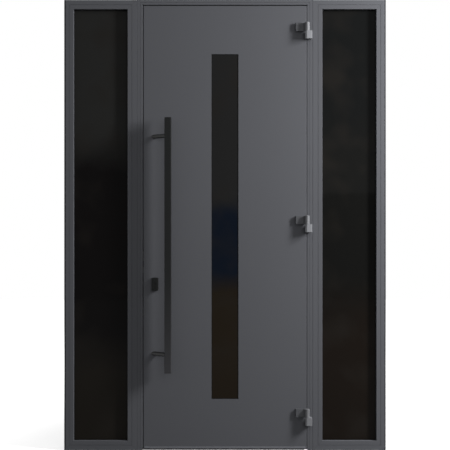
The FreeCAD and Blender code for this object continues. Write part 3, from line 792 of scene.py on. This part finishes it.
for name, length, height, sloped in (("latch_end", 0.026, latch_height, True),
                                     ("dead_bolt_end", 0.036, bolt_height, False)):
    master = bolt_end(f"{name}_master", length, sloped)
    end = set_out(master, name, [(face_low.x, face_middle.y, height)], FACE_LEFT)
    hang(end, "leaf", steel)
    bpy.data.objects.remove(master)

# Hinges
# Three surface hinges in satin silver. The leaf's knuckle turns on a steel pin that is fixed in
# the frame's block, with a plastic washer between them and a domed plug over the pin.
KNUCKLE_RADIUS = 0.011
SHADE_HEIGHT = 1.2
pin_low, pin_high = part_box("middle_hinge_pin")
axis_x = (pin_low.x + pin_high.x) / 2
axis_y = (pin_low.y + pin_high.y) / 2
pin_radius = (pin_high.x - pin_low.x) / 2


def satin_silver(name, tint, floor_shade, plate=None):
    """Satin silver coat with a slight grain, with painted shade that darkens it towards the floor. With
    plate, the wing's plate gets a darker tone as a painted shadow of the knuckle.
    """
    coat = new_finish(name)
    grain = coat.noise(scale=1300.0, detail=3.0)
    # painted shade: the coat darkens towards the floor, as the light falls off there
    unshaded_share = coat.axis("Z").ramp(0.0, SHADE_HEIGHT) * 0.8 + coat.noise(scale=30.0, detail=3.0) * 0.2
    tone = coat.blend(unshaded_share, shaded(tint, floor_shade), tint)
    if plate:
        # painted shadow: the plate left of the knuckle lies in the knuckle's shadow
        knuckle_edge = axis_x - KNUCKLE_RADIUS
        knuckle = coat.axis("X").ramp(knuckle_edge - 0.0005, knuckle_edge + 0.0005)
        tone = coat.blend(knuckle, plate, tone)
    coat.surface(
        Base_Color=tone,
        Metallic=0.06,
        Roughness=coat.noise(scale=120.0, detail=3.0).spread(0.46, 0.58),
        Specular_IOR_Level=0.1,
        Normal=coat.bump(grain, strength=0.15, distance=0.0001),
    )
    return coat


silver = satin_silver("hinge_block_silver", colour(132, 133, 137), floor_shade=0.7)
# the plate tone is a painted shadow of the knuckle, and the lower hinges are darkened as painted shade
wing_silver = satin_silver("hinge_wing_silver", colour(109, 110, 113), floor_shade=0.82,
                           plate=colour(76, 77, 80))
for level in ("upper", "middle", "lower"):
    silver.cover(f"{level}_hinge_frame_block")
    wing_silver.cover(f"{level}_hinge_leaf_wing")
    steel.cover(f"{level}_hinge_pin")

BORE_RADIUS = pin_radius * 1.02
PLUG_HEIGHT = 0.0008
PLUG_RIM = (0.0012, 0.0004)
PLUG_CROWN = (0.0016, 0.0001)
bpy.ops.mesh.primitive_cylinder_add(vertices=32, radius=BORE_RADIUS, depth=PLUG_HEIGHT,
                                    location=(0, 0, PLUG_HEIGHT / 2))
plug = begin("hinge_plug")
draw_up(plug, PLUG_RIM, PLUG_CROWN)
close(plug)

WASHER_RADIUS = 0.0103
WASHER_THICKNESS = 0.00044
WASHER_ROUNDING = 0.00012
WASHER_CUTTER = 0.002
bpy.ops.mesh.primitive_cylinder_add(vertices=48, radius=WASHER_RADIUS, depth=WASHER_THICKNESS)
washer = begin("hinge_washer")
select_where(washer, "EDGE", lambda edge: edge.verts[0].co.z * edge.verts[1].co.z > 0)
bpy.ops.mesh.bevel(offset=WASHER_ROUNDING, segments=2, affect="EDGES")
close(washer)
bpy.ops.mesh.primitive_cylinder_add(vertices=48, radius=BORE_RADIUS, depth=WASHER_CUTTER)
cut_out(washer, bpy.context.active_object)

WING_THICKNESS = 0.0125
SMALL_SINK = 0.0004
WING_SCREW_INSET = 0.0135
WING_SCREW_HEIGHTS = (0.0095, 0.0275)
ADJUSTER_INSET = 0.01
wing_face = leaf_low.y - WING_THICKNESS
for level in ("upper", "middle", "lower"):
    wing_low, wing_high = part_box(f"{level}_hinge_leaf_wing")
    block_low, block_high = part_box(f"{level}_hinge_frame_block")
    washer_height = (wing_low.z + block_high.z) / 2
    between = set_out(washer, f"{level}_hinge_washer", [(axis_x, axis_y, washer_height)])
    hang(between, "frame", cap_plastic)
    top_plug = set_out(plug, f"{level}_hinge_top_plug", [(axis_x, axis_y, wing_high.z)])
    hang(top_plug, "leaf", wing_silver)
    low_plug = set_out(plug, f"{level}_hinge_bottom_plug", [(axis_x, axis_y, block_low.z)], FACE_DOWN)
    hang(low_plug, "frame", silver)
    wing_places = [(wing_low.x + WING_SCREW_INSET, wing_face + SMALL_SINK, wing_low.z + height)
                   for height in WING_SCREW_HEIGHTS]
    wing_screws = set_out(grub_screw, f"{level}_hinge_wing_screws", wing_places, FACE_OUT)
    hang(wing_screws, "leaf", wing_silver)
    block_y = (block_low.y + block_high.y) / 2
    side_places = [(block_high.x - SMALL_SINK, block_y, height)
                   for height in (block_low.z + ADJUSTER_INSET, block_high.z - ADJUSTER_INSET)]
    adjusters = set_out(grub_screw, f"{level}_hinge_adjusters", side_places, FACE_RIGHT)
    hang(adjusters, "frame", silver)
for master in (plug, washer, wide_screw, grub_screw):
    bpy.data.objects.remove(master)

# Studio
# A plain pale floor under a white surround. One soft lamp stands high to the right, close to the
# door's plane, a weak one fills in from the front, and one behind keeps the inside readable.
FLOOR_SIZE = 16.0
WHITE = (1, 1, 1, 1)
BLACK = (0, 0, 0, 1)
bpy.ops.mesh.primitive_plane_add(size=FLOOR_SIZE)
floor = bpy.context.active_object
floor.name = "studio_floor"
pale_floor = new_finish("studio_floor")


def seen_by_eye(finish):
    """1 for a ray that the camera sees, straight or through gloss or glass, and 0 for the rest."""
    kinds = ("Is Camera Ray", "Is Glossy Ray", "Is Transmission Ray")
    camera_ray, glossy_ray, through_ray = (finish.add("LightPath", {}, {}, kind) for kind in kinds)
    return (camera_ray + glossy_ray + through_ray).least(1.0)


# near the door the floor is only half aglow, so that the door's soft shadow shows on it
HALF_GLOW = colour(184, 184, 184)
HALF_GLOW_REACH = 0.9
FULL_GLOW_REACH = 2.6
away = pale_floor.add("VectorMath", {"operation": "LENGTH"}, {0: pale_floor.place()}, "Value")
glow = pale_floor.blend(away.ramp(HALF_GLOW_REACH, FULL_GLOW_REACH), HALF_GLOW, WHITE)
seen = seen_by_eye(pale_floor)
pale_floor.surface(
    Base_Color=pale_floor.blend(seen, colour(80, 80, 80), colour(200, 200, 200)),
    Roughness=0.9,
    Specular_IOR_Level=0.0,
    Emission_Color=pale_floor.blend(seen, BLACK, glow),
    Emission_Strength=1.0,
)
floor.data.materials.append(pale_floor.owner)

# the surround is white to the eye, and lights the door with only this share of that
FILL = 0.372
bpy.context.scene.world = bpy.data.worlds.new("studio")
surround = Finish(bpy.context.scene.world)
shown = seen_by_eye(surround)
strength = shown + (1 - shown) * FILL
backdrop = surround.add("Background", {}, {"Color": WHITE, "Strength": strength})
surround.feed(surround.tree.nodes["World Output"].inputs["Surface"], backdrop)


def soft_lamp(name, place, aim, width, height, power):
    """A soft box that points at a spot on the door."""
    bpy.ops.object.light_add(type="AREA", location=place)
    lamp = bpy.context.active_object
    lamp.name = name
    lamp.data.shape = "RECTANGLE"
    lamp.data.size = width
    lamp.data.size_y = height
    lamp.data.energy = power
    lamp.rotation_euler = (Vector(aim) - Vector(place)).to_track_quat("-Z", "Y").to_euler()


soft_lamp("key_lamp", place=(2.65, -0.99, 2.25), aim=(2.1, 0.0, 1.8), width=0.45, height=1.3, power=206.0)
soft_lamp("fill_lamp", place=(1.6, -4.2, 2.8), aim=(0.4, 0.0, 1.4), width=3.0, height=3.0, power=34.0)
soft_lamp("rear_lamp", place=(-2.6, 2.8, 2.4), aim=(0.0, 0.0, 1.0), width=1.6, height=1.6, power=120.0)

# Camera
# It stands square to the outside face at half height, a few metres off. The door set fills the
# picture's height, with its upper and lower ends at the picture's edges.
PICTURE_HEIGHT = 2.0951
EYE_HEIGHT = 1.0497
DISTANCE = 4.0
bpy.ops.object.camera_add(location=(0, leaf_low.y - DISTANCE, EYE_HEIGHT),
                          rotation=(math.radians(90), 0, 0))
camera = bpy.context.active_object
camera.name = "photo_camera"
camera.data.sensor_width = 36.0
camera.data.lens = camera.data.sensor_width * DISTANCE / PICTURE_HEIGHT
bpy.context.scene.camera = camera
bpy.context.scene.view_settings.view_transform = "Standard"
